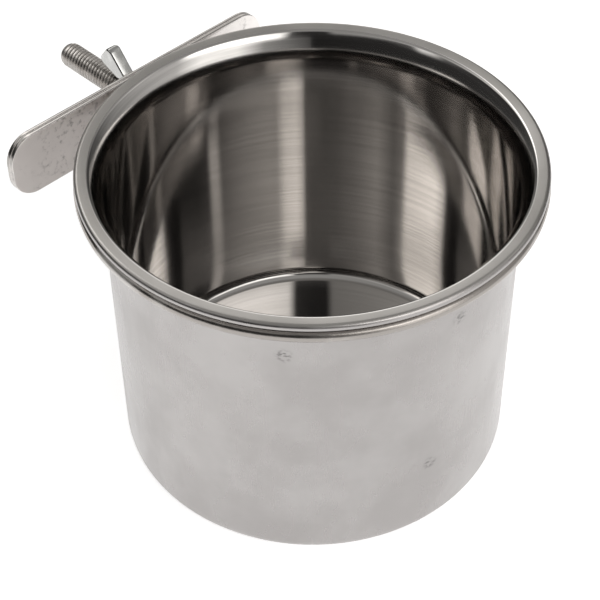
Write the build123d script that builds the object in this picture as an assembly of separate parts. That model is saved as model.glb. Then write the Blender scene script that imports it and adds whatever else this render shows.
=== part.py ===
from build123d import *
from math import asin, atan2, cos, hypot, radians, sin
import os

# A bolt-on seed cup: a deep drawn steel cup that hangs by its curled rim in a wire hoop, and a bar clamp with a
# bolt and a wing nut that grips cage bars between two plates. Millimetres. The origin is the centre of the cup's
# base, +Z is up, and the bolt points along +Y, away from the cup.

# Cup
rim_diameter = 102.0
cup_height = 77.3
rim_overhang = 5.3
land_width = 3.2
sheet_thickness = 0.6
base_corner_radius = 3.3
neck_drop = 3.6
neck_bend_radius = 9.0
land_drop = 0.3
land_bend_radius = 0.5
curl_radius = 0.9
curl_end_angle = -150.0

# Wire hoop under the curl
wire_diameter = 2.7
hoop_overhang = 0.2
hoop_clearance = 0.3
weld_depth = 0.2

# The two clamp plates
plate_length = 75.5
plate_height = 15.8
plate_thickness = 1.0
plate_corner_radius = 6.2
plate_edge_radius = 0.25
plate_offset = -4.5
plate_drop = 1.7
jaw_gap = 0.1

# Bolt
bolt_diameter = 6.0
bolt_length = 28.0
bolt_tip_height = 2.0
bolt_tip_diameter = 3.8
bolt_back_height = 2.0
bolt_back_edge_radius = 0.4
bracket_hole_clearance = 0.05
clamp_hole_clearance = 0.3

# Wing nut
nut_gap = 0.1
nut_thread_clearance = 0.05
hub_base_diameter = 10.0
hub_top_diameter = 8.4
hub_height = 3.6
hub_edge_radius = 0.4
wing_thickness = 3.2
wing_root_low = 0.8
wing_root_high = 5.2
wing_reach = 11.4
wing_reach_height = 7.4
wing_crest = 6.2
wing_crest_height = 11.3
wing_tip_radius = 1.5
wing_edge_radius = 0.55

# Places that follow from the sizes
rim_radius = rim_diameter / 2
wall_radius = rim_radius - rim_overhang
bolt_radius = bolt_diameter / 2
wire_radius = wire_diameter / 2
hoop_radius = rim_radius + hoop_overhang - wire_radius
hoop_z = cup_height - 2 * curl_radius - hoop_clearance - wire_radius
plate_y = rim_radius + hoop_overhang - weld_depth
bolt_z = cup_height - plate_drop - plate_height / 2
clamp_plate_y = plate_y + plate_thickness + jaw_gap
nut_y = clamp_plate_y + plate_thickness + nut_gap
bolt_axis = Axis((plate_offset, plate_y, bolt_z), (0, 1, 0))


def round_corner(profile, corner, radius):
    """Round the corner of a flat profile that lies nearest to the given point."""
    nearest = profile.vertices().sort_by_distance(Vector(corner))[0]
    return fillet(nearest, radius)


def cup():
    """Sheet steel cup of revolution: base, straight wall, flared neck, sloping land and open curl."""
    inner_radius = wall_radius - sheet_thickness
    mouth = Vector(rim_radius - land_width, cup_height - land_drop)
    neck = Vector(inner_radius, cup_height - neck_drop)
    flare = (mouth - neck).normalized()
    flare_out = Vector(flare.Y, -flare.X) * sheet_thickness

    # The land runs from the mouth to the curl and is tangent to it
    curl = Vector(rim_radius - curl_radius, cup_height - curl_radius)
    to_curl = curl - mouth
    land_angle = atan2(to_curl.Y, to_curl.X) + asin(curl_radius / hypot(to_curl.X, to_curl.Y))
    land = Vector(cos(land_angle), sin(land_angle))
    land_up = Vector(-land.Y, land.X)
    curl_inner = curl_radius - sheet_thickness
    top_tangent = curl + land_up * curl_radius
    under_tangent = curl + land_up * curl_inner
    end_direction = Vector(cos(radians(curl_end_angle)), sin(radians(curl_end_angle)))
    right = Vector(1, 0)

    # Corners of the sheet's outer side, where the offset lines of wall, flare and land cross
    flare_start = neck + flare_out
    outer_neck = flare_start + flare * ((wall_radius - flare_start.X) / flare.X)
    crossing = (under_tangent - outer_neck).cross(land).Z / flare.cross(land).Z
    outer_mouth = outer_neck + flare * crossing
    base_corner = Vector(wall_radius, 0)
    floor_corner = Vector(inner_radius, sheet_thickness)

    outline = [
        Polyline((0, sheet_thickness), floor_corner, neck, mouth, top_tangent),
        ThreePointArc(top_tangent, curl + right * curl_radius, curl + end_direction * curl_radius),
        Line(curl + end_direction * curl_radius, curl + end_direction * curl_inner),
        ThreePointArc(curl + end_direction * curl_inner, curl + right * curl_inner, under_tangent),
        Polyline(under_tangent, outer_mouth, outer_neck, base_corner, (0, 0), (0, sheet_thickness)),
    ]
    profile = make_face(Curve() + outline)
    profile = round_corner(profile, floor_corner, base_corner_radius - sheet_thickness)
    profile = round_corner(profile, base_corner, base_corner_radius)
    profile = round_corner(profile, neck, neck_bend_radius + sheet_thickness)
    profile = round_corner(profile, outer_neck, neck_bend_radius)
    profile = round_corner(profile, mouth, land_bend_radius + sheet_thickness)
    profile = round_corner(profile, outer_mouth, land_bend_radius)
    return revolve(Plane.XZ * profile, Axis.Z)


def holder_ring():
    """Wire hoop a little wider than the rim, flat where it is welded to the bracket plate."""
    hoop = Pos(0, 0, hoop_z) * Torus(hoop_radius, wire_radius)
    beyond_plate = Pos(0, plate_y, hoop_z) * Box(
        rim_diameter, wire_diameter, 2 * wire_diameter, align=(Align.CENTER, Align.MIN, Align.CENTER))
    return hoop - beyond_plate


def bar(y, hole_radius):
    """Flat bar with rounded corners, softened edges and a hole for the bolt."""
    face_plane = Plane(origin=(plate_offset, y, bolt_z), x_dir=(1, 0, 0), z_dir=(0, 1, 0))
    blank = extrude(face_plane * RectangleRounded(plate_length, plate_height, plate_corner_radius), plate_thickness)
    faces = blank.faces().filter_by(Axis.Y)
    blank = fillet(faces.edges(), plate_edge_radius)
    return blank - extrude(face_plane * Circle(hole_radius), plate_thickness)


def clamp_bolt():
    """Stud whose back end stands a little proud of the bracket plate, with a full shank and a tapered tip."""
    tip_radius = bolt_tip_diameter / 2
    half = make_face(Polyline(
        (0, -bolt_back_height), (bolt_radius, -bolt_back_height), (bolt_radius, bolt_length - bolt_tip_height),
        (tip_radius, bolt_length), (0, bolt_length), (0, -bolt_back_height)))
    half = round_corner(half, (bolt_radius, -bolt_back_height), bolt_back_edge_radius)
    side = Plane(origin=(plate_offset, plate_y, bolt_z), x_dir=(1, 0, 0), z_dir=(0, 0, 1))
    return revolve(side * half, bolt_axis)


def wing_nut():
    """Conical hub with a bore for the bolt and two slanted wings, one up and one down."""
    base_radius = hub_base_diameter / 2
    top_radius = hub_top_diameter / 2
    side = Plane(origin=(plate_offset, nut_y, bolt_z), x_dir=(0, 0, 1), z_dir=(-1, 0, 0))
    half = make_face(Polyline((0, 0), (base_radius, 0), (top_radius, hub_height), (0, hub_height), (0, 0)))
    half = round_corner(half, (base_radius, 0), hub_edge_radius)
    half = round_corner(half, (top_radius, hub_height), hub_edge_radius)
    hub = revolve(side * half, bolt_axis)

    # A wing's root ends inside the hub's wall, half way between the bore and the hub's outside
    bore_radius = bolt_radius + nut_thread_clearance
    root = (bore_radius + top_radius) / 2
    reach = (wing_reach, wing_reach_height)
    crest = (wing_crest, wing_crest_height)
    paddle = make_face(Polyline((root, wing_root_low), reach, crest, (root, wing_root_high), (root, wing_root_low)))
    paddle = round_corner(paddle, reach, wing_tip_radius)
    paddle = round_corner(paddle, crest, wing_tip_radius)
    wing = extrude(side * paddle, wing_thickness / 2, both=True)
    flanks = wing.faces().filter_by(Axis.X)
    wing = fillet(flanks.edges(), wing_edge_radius)
    wings = [wing, wing.rotate(bolt_axis, 180)]
    base_plane = Plane(origin=(plate_offset, nut_y, bolt_z), x_dir=(1, 0, 0), z_dir=(0, 1, 0))
    bore = extrude(base_plane * Circle(bore_radius), hub_height)
    return hub + wings - bore


os.makedirs("parts", exist_ok=True)
export_step(cup(), "parts/cup.step")
export_step(holder_ring(), "parts/holder_ring.step")
export_step(bar(plate_y, bolt_radius + bracket_hole_clearance), "parts/bracket_plate.step")
export_step(bar(clamp_plate_y, bolt_radius + clamp_hole_clearance), "parts/clamp_plate.step")
export_step(clamp_bolt(), "parts/clamp_bolt.step")
export_step(wing_nut(), "parts/wing_nut.step")
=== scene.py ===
import math

import bpy
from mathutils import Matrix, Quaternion, Vector


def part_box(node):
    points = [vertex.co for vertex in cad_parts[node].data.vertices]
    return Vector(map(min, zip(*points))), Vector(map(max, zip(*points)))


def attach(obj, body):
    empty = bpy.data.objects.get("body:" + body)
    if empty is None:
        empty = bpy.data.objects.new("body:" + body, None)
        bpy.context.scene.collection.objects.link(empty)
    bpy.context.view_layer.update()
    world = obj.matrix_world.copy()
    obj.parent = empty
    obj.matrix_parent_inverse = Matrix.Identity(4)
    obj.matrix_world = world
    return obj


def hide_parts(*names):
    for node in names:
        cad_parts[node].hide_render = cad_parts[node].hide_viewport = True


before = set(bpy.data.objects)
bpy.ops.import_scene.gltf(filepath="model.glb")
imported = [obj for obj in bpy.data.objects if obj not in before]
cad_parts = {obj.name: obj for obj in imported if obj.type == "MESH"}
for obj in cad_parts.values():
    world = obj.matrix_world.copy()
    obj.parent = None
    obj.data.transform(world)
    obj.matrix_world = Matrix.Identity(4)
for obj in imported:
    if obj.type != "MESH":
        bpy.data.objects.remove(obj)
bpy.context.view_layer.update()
mm = 0.001

# Steel cup
# One deep drawn cup of thin stainless sheet: a flat base, a straight wall, a bell-shaped neck, a flat land
# and a tight curl over the wire hoop. It is polished inside, brushed on the land and satin outside.


class Shade:
    """A shader socket that takes part in Python arithmetic."""

    def __init__(self, tree, socket=None):
        self.tree = tree
        self.socket = socket

    def node(self, kind, settings, sockets, output=0):
        """Adds any node: its settings first, then the values or links of its sockets."""
        made = self.tree.nodes.new(kind)
        for key, value in settings.items():
            if key == "stops":
                ramp = made.color_ramp
                while len(ramp.elements) < len(value):
                    ramp.elements.new(0.5)
                for stop, (place, colour) in zip(ramp.elements, value):
                    stop.position = place
                    stop.color = colour
            else:
                setattr(made, key, value)
        for key, value in sockets.items():
            if isinstance(value, Shade):
                self.tree.links.new(value.socket, made.inputs[key])
            else:
                made.inputs[key].default_value = value
        return Shade(self.tree, made.outputs[output] if len(made.outputs) else None)

    def math(self, operation, first, second=0.0, third=0.0):
        return self.node("ShaderNodeMath", {"operation": operation}, {0: first, 1: second, 2: third})

    def __add__(self, other):
        return self.math("ADD", self, other)

    def __radd__(self, other):
        return self.math("ADD", other, self)

    def __sub__(self, other):
        return self.math("SUBTRACT", self, other)

    def __rsub__(self, other):
        return self.math("SUBTRACT", other, self)

    def __mul__(self, other):
        return self.math("MULTIPLY", self, other)

    def __rmul__(self, other):
        return self.math("MULTIPLY", other, self)

    def __truediv__(self, other):
        return self.math("DIVIDE", self, other)

    def __rtruediv__(self, other):
        return self.math("DIVIDE", other, self)


def metal(name):
    """A bare metal material: returns it, its shader node and its Object coordinates."""
    material = bpy.data.materials.new(name)
    material.use_nodes = True
    shader = material.node_tree.nodes["Principled BSDF"]
    shader.inputs["Metallic"].default_value = 1.0
    coords = Shade(material.node_tree).node("ShaderNodeTexCoord", {}, {}, "Object")
    return material, shader, coords


def feed(shader, socket, value):
    """Links a worked-out value or colour to one of the shader's sockets."""
    value.tree.links.new(value.socket, shader.inputs[socket])


def noise(coords, scale, detail, stretch=(1, 1, 1), roughness=0.5, place=(0, 0, 0)):
    """Noise between 0 and 1 on the piece, stretched along its axes."""
    moved = coords.node("ShaderNodeMapping", {}, {"Vector": coords, "Scale": stretch, "Location": place})
    return coords.node("ShaderNodeTexNoise", {}, {
        "Vector": moved, "Scale": scale, "Detail": detail, "Roughness": roughness}, "Fac")


def span(value, low, high):
    """Maps a value's stretch from low to high smoothly onto 0 to 1."""
    return value.node("ShaderNodeMapRange", {"interpolation_type": "SMOOTHSTEP"}, {
        "Value": value, "From Min": low, "From Max": high})


def distance_from(coords, place):
    """How far each point of the piece lies from a place on it."""
    return coords.node("ShaderNodeVectorMath", {"operation": "DISTANCE"}, {0: coords, 1: place}, "Value")


def tint(mask, first, second):
    """Mixes two colours by a mask between 0 and 1."""
    return mask.node("ShaderNodeMix", {"data_type": "RGBA"}, {0: mask, 6: first, 7: second}, 2)


def only(piece):
    """Deselects everything and makes this piece the one that operators act on."""
    bpy.ops.object.select_all(action="DESELECT")
    piece.select_set(True)
    bpy.context.view_layer.objects.active = piece


def polyline(name, points):
    """A new mesh object that is one chain of edges through the points, drawn by extruding a vertex."""
    bpy.ops.object.select_all(action="DESELECT")
    bpy.ops.mesh.primitive_plane_add(size=mm, location=(0, 0, 0))
    piece = bpy.context.object
    piece.name = name
    bpy.ops.object.mode_set(mode="EDIT")
    bpy.ops.mesh.select_mode(type="VERT")
    bpy.ops.mesh.merge(type="CENTER")
    bpy.ops.transform.translate(value=points[0])
    for here, there in zip(points, points[1:]):
        step = Vector(there) - Vector(here)
        bpy.ops.mesh.extrude_region_move(TRANSFORM_OT_translate={"value": step})
    bpy.ops.mesh.select_all(action="SELECT")
    return piece


def lathe(name, points, steps, centre, axis):
    """Turns a chain of points into a closed round piece by spinning it about an axis."""
    piece = polyline(name, points)
    bpy.ops.mesh.spin(steps=steps, angle=math.tau, center=centre, axis=axis)
    bpy.ops.mesh.select_all(action="SELECT")
    bpy.ops.mesh.remove_doubles(threshold=0.002 * mm)
    bpy.ops.mesh.normals_make_consistent(inside=False)
    bpy.ops.object.mode_set(mode="OBJECT")
    return piece


def arc(centre, radius, start, end, steps):
    """Points of an arc in the lathe's plane, as (radius, height) pairs, angles in degrees."""
    points = []
    for step in range(steps + 1):
        angle = math.radians(start + (end - start) * step / steps)
        points.append((centre[0] + radius * math.cos(angle), centre[1] + radius * math.sin(angle)))
    return points


def smooth(piece, angle):
    """Smooth shading that keeps edges sharper than the angle, in degrees."""
    only(piece)
    bpy.ops.object.shade_smooth_by_angle(angle=math.radians(angle))


cup_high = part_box("cup")[1]
rim_radius = cup_high.x
cup_height = cup_high.z
sheet = 0.6 * mm
rim_overhang = 5.3 * mm
wall_radius = rim_radius - rim_overhang
inner_radius = wall_radius - sheet
base_corner = 3.3 * mm
neck_drop = 3.6 * mm
neck_height = cup_height - neck_drop
neck_bend = 9.0 * mm
land_width = 3.2 * mm
land_drop = 0.3 * mm
mouth_radius = rim_radius - land_width
land_height = cup_height - land_drop
curl_radius = 0.9 * mm
curl_centre = (rim_radius - curl_radius, cup_height - curl_radius)
curl_end = -150.0
floor_margin = 10 * mm
wall_parts = 10
round_steps = 256

# The flare leans out from the neck to the mouth, and each bend starts a tangent's length before its corner
flare_lean = math.degrees(math.atan2(mouth_radius - inner_radius, land_height - neck_height))
flare_reach = neck_bend * math.tan(math.radians(flare_lean / 2))
land_lean = math.degrees(
    math.atan2(curl_centre[1] - land_height, curl_centre[0] - mouth_radius)
    + math.asin(curl_radius / math.dist(curl_centre, (mouth_radius, land_height))))
inside_bend = neck_bend + sheet
inside_reach = inside_bend * math.tan(math.radians(flare_lean / 2))
mouth_turn = 90.0 - flare_lean - land_lean
mouth_bend = 1.1 * mm
mouth_reach = mouth_bend * math.tan(math.radians(mouth_turn / 2))
mouth_start = (
    mouth_radius + mouth_reach * math.cos(math.radians(land_lean)),
    land_height + mouth_reach * math.sin(math.radians(land_lean)))
mouth_hub = (
    mouth_start[0] + mouth_bend * math.sin(math.radians(land_lean)),
    mouth_start[1] - mouth_bend * math.cos(math.radians(land_lean)))

outside = [(0, 0), (wall_radius - base_corner - floor_margin, 0)]
outside += arc((wall_radius - base_corner, base_corner), base_corner, -90, 0, 14)
outside += [(wall_radius, neck_height * part / wall_parts) for part in range(1, wall_parts)]
neck_outside = neck_height - sheet * math.tan(math.radians(flare_lean / 2))
outside += arc(
    (wall_radius + neck_bend, neck_outside - flare_reach), neck_bend, 180, 180 - flare_lean, 20)
outside += arc(mouth_hub, mouth_bend - sheet, 180 - flare_lean, 90 + land_lean, 8)
outside += arc(curl_centre, curl_radius - sheet, 90 + land_lean, curl_end, 30)
inside = arc(curl_centre, curl_radius, curl_end, 90 + land_lean, 44)
inside += arc(mouth_hub, mouth_bend, 90 + land_lean, 180 - flare_lean, 8)
inside += arc(
    (inner_radius + inside_bend, neck_height - inside_reach), inside_bend, 180 - flare_lean, 180, 20)
inside += [(inner_radius, neck_height * part / wall_parts) for part in range(wall_parts - 1, 0, -1)]
inside += arc((wall_radius - base_corner, base_corner), base_corner - sheet, 0, -90, 14)
inside += [(wall_radius - base_corner - floor_margin, sheet), (0, sheet)]
steel_cup = lathe(
    "steel_cup", [(radius, 0, height) for radius, height in outside + inside], round_steps,
    (0, 0, 0), (0, 0, 1))
smooth(steel_cup, 50)

satin_steel, satin, coords = metal("satin_cup_steel")
clouds = noise(coords, 38, 4, roughness=0.6)
smears = noise(coords, 120, 3, stretch=(1, 1, 0.35), place=(3, 1, 2))
drawn = noise(coords, 900, 2, stretch=(1, 1, 0.03))
scuff_places = (
    (-36.2 * mm, -27.9 * mm, 63.5 * mm), (-3.1 * mm, -45.6 * mm, 63.2 * mm),
    (-8.7 * mm, -44.9 * mm, 21.5 * mm))
marks = 0
for place in scuff_places:
    marks = marks + (1 - span(distance_from(coords, place), 0.4 * mm, 2.4 * mm))
scuffed = marks * span(noise(coords, 1100, 3, stretch=(1, 1, 1.6)), 0.42, 0.6)
plain = tint(span(clouds, 0.35, 0.68), (0.395, 0.378, 0.372, 1), (0.46, 0.444, 0.438, 1))
feed(satin, "Base Color", tint(scuffed, plain, (0.2, 0.192, 0.188, 1)))
feed(satin, "Roughness", 0.2 + 0.1 * clouds + 0.08 * span(smears, 0.45, 0.7) + 0.04 * drawn)
grain = 0.6 * drawn + 0.4 * noise(coords, 2600, 2)
feed(satin, "Normal", grain.node("ShaderNodeBump", {}, {
    "Height": grain, "Strength": 0.01, "Distance": 0.2 * mm}))

polished_steel, polish, coords = metal("polished_cup_steel")
polish.inputs["Anisotropic"].default_value = 0.7
polish.inputs["Anisotropic Rotation"].default_value = 0.25
turned = noise(coords, 1500, 3, stretch=(0.02, 0.02, 1))
clouds = noise(coords, 30, 3, place=(5, 2, 1))
feed(polish, "Base Color", tint(
    span(turned, 0.35, 0.7), (0.53, 0.515, 0.5, 1), (0.62, 0.603, 0.588, 1)))
up = coords.node("ShaderNodeSeparateXYZ", {}, {"Vector": coords}, "Z")
brushed_depth = 9 * mm
brushed_neck = span(up, neck_height - brushed_depth, neck_height)
feed(polish, "Roughness", 0.035 + 0.04 * clouds + 0.03 * turned + 0.04 * brushed_neck)
feed(polish, "Normal", turned.node("ShaderNodeBump", {}, {
    "Height": turned, "Strength": 0.015, "Distance": 0.2 * mm}))

brushed_steel, brush, coords = metal("brushed_rim_steel")
brush.inputs["Anisotropic"].default_value = 0.6
brush.inputs["Anisotropic Rotation"].default_value = 0.25
strokes = noise(coords, 900, 3, stretch=(0.06, 0.06, 1), place=(1, 7, 3))
handled = noise(coords, 70, 3, place=(4, 4, 1))
feed(brush, "Base Color", tint(
    span(handled, 0.35, 0.7), (0.43, 0.416, 0.398, 1), (0.5, 0.484, 0.465, 1)))
feed(brush, "Roughness", 0.26 + 0.08 * strokes + 0.06 * handled)

steel_cup.data.materials.append(satin_steel)
steel_cup.data.materials.append(polished_steel)
steel_cup.data.materials.append(brushed_steel)
for face in steel_cup.data.polygons:
    reach = math.hypot(face.center.x, face.center.y)
    inward = face.normal.x * face.center.x + face.normal.y * face.center.y < 0
    on_rim = face.normal.z > 0.8 and reach > mouth_start[0]
    on_floor = face.normal.z > 0.3 and face.center.z < base_corner
    face.material_index = 2 if on_rim else int(inward or on_floor)
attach(steel_cup, "cup")
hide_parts("cup")

# Wire hoop
# A hoop of round steel wire that carries the cup under its curl. It is bent in a ring, butted and welded
# to the bracket bar, and it is scuffed where the cup's curl rubs on it.
hoop_low, hoop_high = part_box("holder_ring")
wire_radius = (hoop_high.z - hoop_low.z) / 2
hoop_z = (hoop_high.z + hoop_low.z) / 2
bpy.ops.object.select_all(action="DESELECT")
bpy.ops.mesh.primitive_torus_add(
    major_radius=hoop_high.x - wire_radius, minor_radius=wire_radius, major_segments=288, minor_segments=32,
    location=(0, 0, hoop_z))
wire_hoop = bpy.context.object
wire_hoop.name = "wire_hoop"
bpy.ops.object.transform_apply(location=True, rotation=True, scale=True)
bpy.ops.object.mode_set(mode="EDIT")
bpy.ops.mesh.select_all(action="SELECT")
bpy.ops.mesh.bisect(
    plane_co=(0, hoop_high.y, hoop_z), plane_no=(0, 1, 0), use_fill=True, clear_outer=True,
    threshold=0.001 * mm)
bpy.ops.object.mode_set(mode="OBJECT")
smooth(wire_hoop, 50)

wire_steel, wire, coords = metal("wire_hoop_steel")
grime = noise(coords, 160, 4, roughness=0.65)
rubbed = noise(coords, 55, 2, place=(2, 4, 1))
worn_place = (-50.6 * mm, 5.8 * mm, 73 * mm)
worn_patch = 1 - span(distance_from(coords, worn_place) + 6 * mm * grime, 8 * mm, 12 * mm)
scuffs = coords.math("MAXIMUM", worn_patch, span(rubbed, 0.5, 0.66) * span(grime, 0.35, 0.6))
feed(wire, "Base Color", tint(scuffs, (0.37, 0.345, 0.325, 1), (0.62, 0.6, 0.58, 1)))
feed(wire, "Roughness", 0.16 + 0.16 * grime + 0.2 * scuffs)
pits = 0.5 * noise(coords, 1400, 3, roughness=0.7) + 0.5 * grime
feed(wire, "Normal", pits.node("ShaderNodeBump", {}, {
    "Height": pits, "Strength": 0.12, "Distance": 0.3 * mm}))
wire_hoop.data.materials.append(wire_steel)
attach(wire_hoop, "holder")
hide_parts("holder_ring")

# Clamp bars
# Two stamped steel bars with rounded corners, one welded to the hoop and one loose on the bolt. Both are
# the same stamping, with softened edges, darker where they were sheared, a bolt hole and smudged faces. The
# faces' colour is painted lighter than bare steel, as painted light for the light they reflect.
bolt_low, bolt_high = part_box("clamp_bolt")
bolt_x = (bolt_low.x + bolt_high.x) / 2
bolt_z = (bolt_low.z + bolt_high.z) / 2
bolt_radius = (bolt_high.x - bolt_low.x) / 2
bolt_clearance = 0.05 * mm
loose_clearance = 0.3 * mm
sheared_steel, shear, coords = metal("sheared_edge_steel")
streaks = noise(coords, 600, 3, stretch=(0.2, 1, 1))
feed(shear, "Base Color", tint(
    span(streaks, 0.35, 0.7), (0.4, 0.385, 0.37, 1), (0.52, 0.5, 0.48, 1)))
feed(shear, "Roughness", 0.14 + 0.12 * streaks)


def stamped_bar(name, node, hole_radius, face_steel):
    """A flat bar at the place of its CAD node, with rounded corners, softened edges and a bolt hole."""
    low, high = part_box(node)
    corner_radius = 6.2 * mm
    edge_radius = 0.25 * mm
    bpy.ops.object.select_all(action="DESELECT")
    bpy.ops.mesh.primitive_cube_add(size=1, location=(low + high) / 2, scale=high - low)
    bar = bpy.context.object
    bar.name = name
    bpy.ops.object.transform_apply(location=True, rotation=True, scale=True)
    bpy.ops.object.mode_set(mode="EDIT")
    bpy.ops.mesh.select_mode(type="EDGE")
    bpy.ops.mesh.select_all(action="DESELECT")
    bpy.ops.object.mode_set(mode="OBJECT")
    for edge in bar.data.edges:
        first, second = (bar.data.vertices[i].co for i in edge.vertices)
        edge.select = abs(first.y - second.y) > (high.y - low.y) / 2
    bpy.ops.object.mode_set(mode="EDIT")
    bpy.ops.mesh.bevel(offset=corner_radius, segments=20, affect="EDGES")
    bpy.ops.object.mode_set(mode="OBJECT")
    bpy.ops.object.select_all(action="DESELECT")
    bpy.ops.mesh.primitive_cylinder_add(
        vertices=64, radius=hole_radius, depth=4 * (high.y - low.y), rotation=(math.pi / 2, 0, 0),
        location=(bolt_x, (low.y + high.y) / 2, bolt_z))
    drill = bpy.context.object
    only(bar)
    punch = bar.modifiers.new("bolt hole", "BOOLEAN")
    punch.object = drill
    punch.solver = "EXACT"
    bpy.ops.object.modifier_apply(modifier=punch.name)
    bpy.data.objects.remove(drill)
    roll = bar.modifiers.new("rolled edge", "BEVEL")
    roll.width = edge_radius
    roll.segments = 4
    roll.limit_method = "ANGLE"
    roll.angle_limit = math.radians(60)
    bpy.ops.object.modifier_apply(modifier=roll.name)
    smooth(bar, 35)
    bar.data.materials.append(face_steel)
    bar.data.materials.append(sheared_steel)
    for face in bar.data.polygons:
        face.material_index = int(abs(face.normal.y) < 0.6)
    return bar


def bar_steel(name, seed):
    """Dull stamped steel with cloudy smudges and dark specks, and a face colour painted lighter than bare
    steel as painted light.
    """
    material, shader, coords = metal(name)
    clouds = noise(coords, 45, 4, roughness=0.62, place=(seed, 0, 0))
    fingers = noise(coords, 150, 3, stretch=(1, 1, 0.6), place=(seed, 2, 5))
    rolled = noise(coords, 700, 2, stretch=(0.04, 1, 1))
    dirt = noise(coords, 650, 4, roughness=0.65, place=(seed, 4, 3))
    specks = span(dirt, 0.5, 0.68) * span(fingers, 0.42, 0.62)
    # Painted light: the face colour is set far lighter than bare steel to stand in for the light these
    # faces reflect, and the clouds vary it at random
    painted_light_face = tint(span(clouds, 0.34, 0.68), (0.87, 0.835, 0.81, 1), (0.96, 0.925, 0.9, 1))
    feed(shader, "Base Color", tint(0.65 * specks, painted_light_face, (0.36, 0.34, 0.33, 1)))
    feed(shader, "Roughness", 0.32 + 0.14 * clouds + 0.1 * span(fingers, 0.45, 0.7))
    skin = 0.5 * rolled + 0.5 * noise(coords, 1900, 2)
    feed(shader, "Normal", skin.node("ShaderNodeBump", {}, {
        "Height": skin, "Strength": 0.07, "Distance": 0.2 * mm}))
    return material


bracket_bar = stamped_bar(
    "bracket_bar", "bracket_plate", bolt_radius + bolt_clearance, bar_steel("bracket_bar_steel", 1.0))
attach(bracket_bar, "holder")
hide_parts("bracket_plate")
loose_bar = stamped_bar(
    "loose_bar", "clamp_plate", bolt_radius + loose_clearance, bar_steel("loose_bar_steel", 6.0))
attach(loose_bar, "clamp_bar")
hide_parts("clamp_plate")

# Clamp bolt
# A steel stud of 6 mm with a rolled thread of 1 mm pitch, dull and bare. Its plain back end is welded in
# the bracket bar, and the thread runs from there to the rounded tip.
thread_pitch = 1.0 * mm
thread_depth = 0.58 * mm
thread_steps = 40
thread_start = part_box("bracket_plate")[0].y
bolt_tip = bolt_high.y
tip_length = 2.2 * mm
tip_roundness = 0.8
root_radius = bolt_radius - thread_depth
turns = math.ceil((bolt_tip - thread_start) / thread_pitch) + 2
first_turn = thread_start - thread_pitch
thread_form = [
    (root_radius, 0), (root_radius, 0.12), (bolt_radius - 0.05 * mm, 0.43), (bolt_radius, 0.48),
    (bolt_radius, 0.56), (bolt_radius - 0.05 * mm, 0.61), (root_radius, 0.92), (root_radius, 1)]
bolt = polyline(
    "threaded_bolt", [(radius, first_turn + share * thread_pitch, 0) for radius, share in thread_form])
bpy.ops.object.mode_set(mode="OBJECT")
wind = bolt.modifiers.new("thread", "SCREW")
wind.axis = "Y"
wind.angle = math.tau
wind.screw_offset = thread_pitch
wind.iterations = turns
wind.steps = thread_steps
wind.render_steps = thread_steps
wind.use_merge_vertices = True
wind.merge_threshold = 0.002 * mm
only(bolt)
bpy.ops.object.modifier_apply(modifier=wind.name)
bpy.ops.object.mode_set(mode="EDIT")
bpy.ops.mesh.select_all(action="SELECT")
bpy.ops.mesh.remove_doubles(threshold=0.002 * mm)
bpy.ops.mesh.normals_make_consistent(inside=False)
bpy.ops.mesh.bisect(
    plane_co=(0, thread_start, 0), plane_no=(0, -1, 0), use_fill=True, clear_outer=True,
    threshold=0.001 * mm)
bpy.ops.mesh.select_all(action="SELECT")
bpy.ops.mesh.bisect(
    plane_co=(0, bolt_tip, 0), plane_no=(0, 1, 0), use_fill=True, clear_outer=True, threshold=0.001 * mm)
bpy.ops.object.mode_set(mode="OBJECT")

# The tip's threads run out under a rounded end
for vertex in bolt.data.vertices:
    past = (vertex.co.y - bolt_tip + tip_length) / tip_length
    reach = math.hypot(vertex.co.x, vertex.co.z)
    if past > 0 and reach > 0:
        limit = bolt_radius * math.sqrt(1 - (tip_roundness * past) ** 2)
        draw_in = min(1, limit / reach)
        vertex.co.x *= draw_in
        vertex.co.z *= draw_in
for vertex in bolt.data.vertices:
    vertex.co.x += bolt_x
    vertex.co.z += bolt_z

back_bend = 0.4 * mm
back_line = [(0, bolt_low.y), (bolt_radius - back_bend, bolt_low.y)]
back_line += arc((bolt_radius - back_bend, bolt_low.y + back_bend), back_bend, -90, 0, 8)
back_line += [(bolt_radius, thread_start), (0, thread_start)]
back_end = lathe(
    "bolt_back", [(bolt_x + radius, height, bolt_z) for radius, height in back_line], 64,
    (bolt_x, 0, bolt_z), (0, 1, 0))
only(bolt)
back_end.select_set(True)
bpy.ops.object.join()
smooth(bolt, 40)

bolt_steel, dull, coords = metal("bolt_steel")
handled = noise(coords, 260, 4, roughness=0.6)
feed(dull, "Base Color", tint(
    span(handled, 0.36, 0.66), (0.38, 0.36, 0.34, 1), (0.51, 0.49, 0.47, 1)))
feed(dull, "Roughness", 0.16 + 0.2 * handled)
nicks = noise(coords, 1700, 3, roughness=0.7)
feed(dull, "Normal", nicks.node("ShaderNodeBump", {}, {
    "Height": nicks, "Strength": 0.1, "Distance": 0.2 * mm}))
bolt.data.materials.append(bolt_steel)
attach(bolt, "holder")
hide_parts("clamp_bolt")

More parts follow.
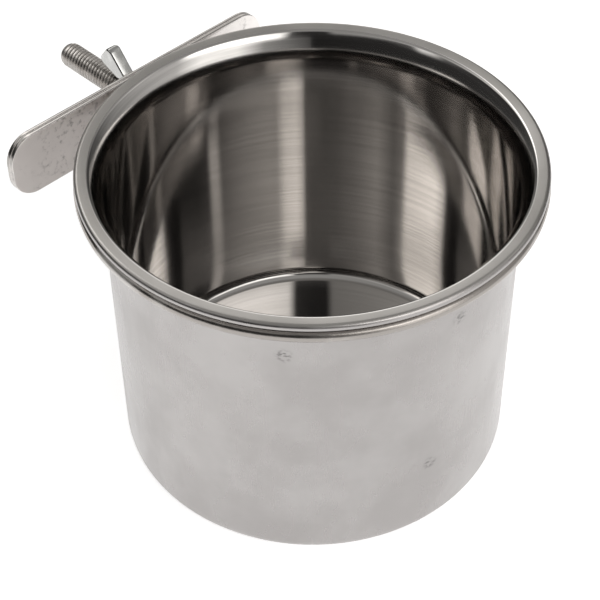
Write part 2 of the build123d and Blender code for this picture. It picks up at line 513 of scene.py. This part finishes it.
# Wing nut
# A cast wing nut with a bright plated skin: a conical hub on the thread, and two thick slanted wings to
# turn it by. It presses the loose bar towards the bracket bar.
nut_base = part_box("wing_nut")[0].y
hub_base_radius = 5.0 * mm
hub_top_radius = 4.2 * mm
hub_height = 3.6 * mm
hub_bend = 0.4 * mm
bore_chamfer = 0.3 * mm
bore_radius = bolt_radius + bolt_clearance
hub_line = [(bore_radius, 0), (hub_base_radius - hub_bend, 0)]
hub_line += arc((hub_base_radius - hub_bend, hub_bend), hub_bend, -90, 0, 6)
hub_line += arc((hub_top_radius - hub_bend, hub_height - hub_bend), hub_bend, 0, 90, 6)
hub_line += [
    (bore_radius + bore_chamfer, hub_height), (bore_radius, hub_height - bore_chamfer), (bore_radius, 0)]
hub = lathe(
    "plated_wing_nut", [(bolt_x + radius, nut_base + height, bolt_z) for radius, height in hub_line], 72,
    (bolt_x, 0, bolt_z), (0, 1, 0))

wing_thickness = 3.2 * mm
wing_corner = 2.0 * mm
wing_edge = 0.55 * mm
wing_root = (bore_radius + hub_top_radius) / 2
root_margin = 1 * mm
wing_outline = [
    (wing_root, 0.8 * mm), (11.4 * mm, 7.4 * mm), (6.2 * mm, 11.3 * mm), (wing_root, 5.2 * mm)]
wing = polyline("wing", [
    (bolt_x - wing_thickness / 2, nut_base + along, bolt_z + out) for out, along in wing_outline])
bpy.ops.mesh.edge_face_add()
bpy.ops.mesh.extrude_region_move(TRANSFORM_OT_translate={"value": (wing_thickness, 0, 0)})
bpy.ops.mesh.select_all(action="SELECT")
bpy.ops.mesh.normals_make_consistent(inside=False)
bpy.ops.mesh.select_mode(type="EDGE")
bpy.ops.mesh.select_all(action="DESELECT")
bpy.ops.object.mode_set(mode="OBJECT")
for edge in wing.data.edges:
    first, second = (wing.data.vertices[i].co for i in edge.vertices)
    across = abs(first.x - second.x) > wing_thickness / 2
    edge.select = across and first.z > bolt_z + wing_root + root_margin
bpy.ops.object.mode_set(mode="EDIT")
bpy.ops.mesh.bevel(offset=wing_corner, segments=10, affect="EDGES")
bpy.ops.object.mode_set(mode="OBJECT")
soften = wing.modifiers.new("cast edges", "BEVEL")
soften.width = wing_edge
soften.segments = 5
soften.limit_method = "ANGLE"
soften.angle_limit = math.radians(50)
only(wing)
bpy.ops.object.modifier_apply(modifier=soften.name)
bpy.ops.object.duplicate()
second_wing = bpy.context.object
bpy.ops.object.mode_set(mode="EDIT")
bpy.ops.mesh.select_all(action="SELECT")
bpy.ops.transform.rotate(
    value=math.pi, orient_axis="Y", orient_type="GLOBAL", center_override=(bolt_x, nut_base, bolt_z))
bpy.ops.object.mode_set(mode="OBJECT")
only(hub)
wing.select_set(True)
second_wing.select_set(True)
bpy.ops.object.join()
wing_nut = hub
smooth(wing_nut, 35)

nut_plating, plate, coords = metal("nut_plating")
wear = noise(coords, 320, 3)
feed(plate, "Base Color", tint(
    span(wear, 0.4, 0.7), (0.5, 0.5, 0.49, 1), (0.62, 0.62, 0.61, 1)))
feed(plate, "Roughness", 0.13 + 0.2 * wear)
peel = noise(coords, 1100, 2)
feed(plate, "Normal", peel.node("ShaderNodeBump", {}, {
    "Height": peel, "Strength": 0.06, "Distance": 0.2 * mm}))
wing_nut.data.materials.append(nut_plating)
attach(wing_nut, "wing_nut")
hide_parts("wing_nut")

# Table and light
# A plain white table that glows softly, and a dim studio round it. Soft boxes stand round the cup in three
# tiers, one above the other, and show as upright streaks in its polished inside.
table_size = 6.0
table_top = -0.2 * mm
strongest_box = 4.0
bpy.ops.object.select_all(action="DESELECT")
bpy.ops.mesh.primitive_plane_add(size=table_size, location=(0, 0, table_top))
table = bpy.context.object
table.name = "table"
table_white = bpy.data.materials.new("table_white")
table_white.use_nodes = True
paint = table_white.node_tree.nodes["Principled BSDF"]
paint.inputs["Base Color"].default_value = (0.9, 0.9, 0.9, 1)
paint.inputs["Roughness"].default_value = 0.9
paint.inputs["Emission Strength"].default_value = 0.7
spot = Shade(table_white.node_tree).node("ShaderNodeTexCoord", {}, {}, "Object")
distance = spot.node("ShaderNodeVectorMath", {"operation": "LENGTH"}, {0: spot}, "Value")
feed(paint, "Emission Color", tint(span(distance, 0.3, 0.9), (1, 1, 1, 1), (0.1, 0.1, 0.1, 1)))
table.data.materials.append(table_white)

camera_azimuth = math.radians(-44.9)
away = Vector((-math.sin(camera_azimuth), math.cos(camera_azimuth), 0))
right = Vector((math.cos(camera_azimuth), math.sin(camera_azimuth), 0))
studio = bpy.data.worlds.new("studio")
bpy.context.scene.world = studio
studio.use_nodes = True
sky = Shade(studio.node_tree)
direction = sky.node("ShaderNodeTexCoord", {}, {}, "Generated")
ahead = sky.node("ShaderNodeVectorMath", {"operation": "DOT_PRODUCT"}, {0: direction, 1: away}, "Value")
aside = sky.node("ShaderNodeVectorMath", {"operation": "DOT_PRODUCT"}, {0: direction, 1: right}, "Value")
height = sky.node("ShaderNodeSeparateXYZ", {}, {"Vector": direction}, "Z")
heading = sky.math("ARCTAN2", aside, ahead) / math.tau + 0.5


def grey(value):
    """A grey of this brightness, a little on the warm side."""
    return (value, value * 0.985, value * 0.96, 1)


def soft_boxes(boxes):
    """One tier of lights: headings in degrees, clockwise from straight behind, with a brightness each."""
    stops = [(turn / 360 + 0.5, grey(value / strongest_box)) for turn, value in boxes]
    return sky.node("ShaderNodeValToRGB", {"stops": stops}, {"Fac": heading}, "Color")


upper_boxes = soft_boxes([
    (-180, 0.03), (-140, 0.03), (-124, 0.1), (-119, 1.3), (-112, 1.3), (-106, 0.35), (-75, 0.8),
    (-50, 1.1), (-40, 1.1), (-30, 2.6), (-18, 3.0), (-11, 2.0), (-7, 0.3), (0, 0.22), (28, 0.3),
    (50, 0.5), (75, 0.9), (94, 0.4), (106, 0.6), (113, 3.1), (150, 4.0), (162, 2.4), (168, 0.1),
    (180, 0.03)])
lower_boxes = soft_boxes([
    (-180, 0.02), (-60, 0.05), (-40, 0.1), (-14, 0.2), (-8, 1.2), (0, 1.6), (6, 1.0), (14, 0.1),
    (30, 0.06), (50, 0.12), (65, 0.3), (84, 0.5), (108, 0.7), (122, 1.6), (142, 1.6), (156, 0.4),
    (180, 0.1)])
high_boxes = soft_boxes([
    (-180, 0.03), (-171, 0.03), (-167, 0.4), (-110, 0.65), (-50, 0.8), (-40, 1.1), (-30, 2.4),
    (-18, 2.8), (-11, 1.8), (-7, 0.4), (0, 0.35), (30, 0.35), (75, 0.7), (100, 0.4), (113, 1.8),
    (150, 1.8), (164, 1.7), (169, 0.05), (180, 0.03)])
ring = tint(span(height, 0.48, 0.64), lower_boxes, upper_boxes)
ring = tint(span(height, 0.65, 0.7), ring, high_boxes)
studio_light = tint(span(height, 0.72, 0.88), ring, grey(0.09))
background = studio.node_tree.nodes["Background"]
feed(background, "Color", studio_light)
background.inputs["Strength"].default_value = strongest_box
bpy.context.scene.view_settings.view_transform = "Standard"

# The polished cup mirrors itself many times over, so light may take long paths between its walls
bpy.context.scene.cycles.glossy_bounces = 10

# Camera
# It stands at the photograph's angle, above the front of the cup, with the clamp behind on the left.
# Its lens, shift and roll give the photograph's framing.
camera_elevation = math.radians(43.86)
camera_distance = 0.372
roll = math.radians(-0.4)
back = Vector((
    math.sin(camera_azimuth) * math.cos(camera_elevation),
    -math.cos(camera_azimuth) * math.cos(camera_elevation),
    math.sin(camera_elevation)))
aim = Vector((0, 0, 0.0387))
lens = bpy.data.cameras.new("camera")
lens.sensor_width = 36
lens.lens = 96.85
lens.shift_x = -0.0216
lens.shift_y = -0.02
lens.clip_start = 0.01
camera = bpy.data.objects.new("camera", lens)
bpy.context.scene.collection.objects.link(camera)
camera.location = aim + back * camera_distance
camera.rotation_mode = "QUATERNION"
camera.rotation_quaternion = (-back).to_track_quat("-Z", "Y") @ Quaternion((0, 0, 1), roll)
bpy.context.scene.camera = camera
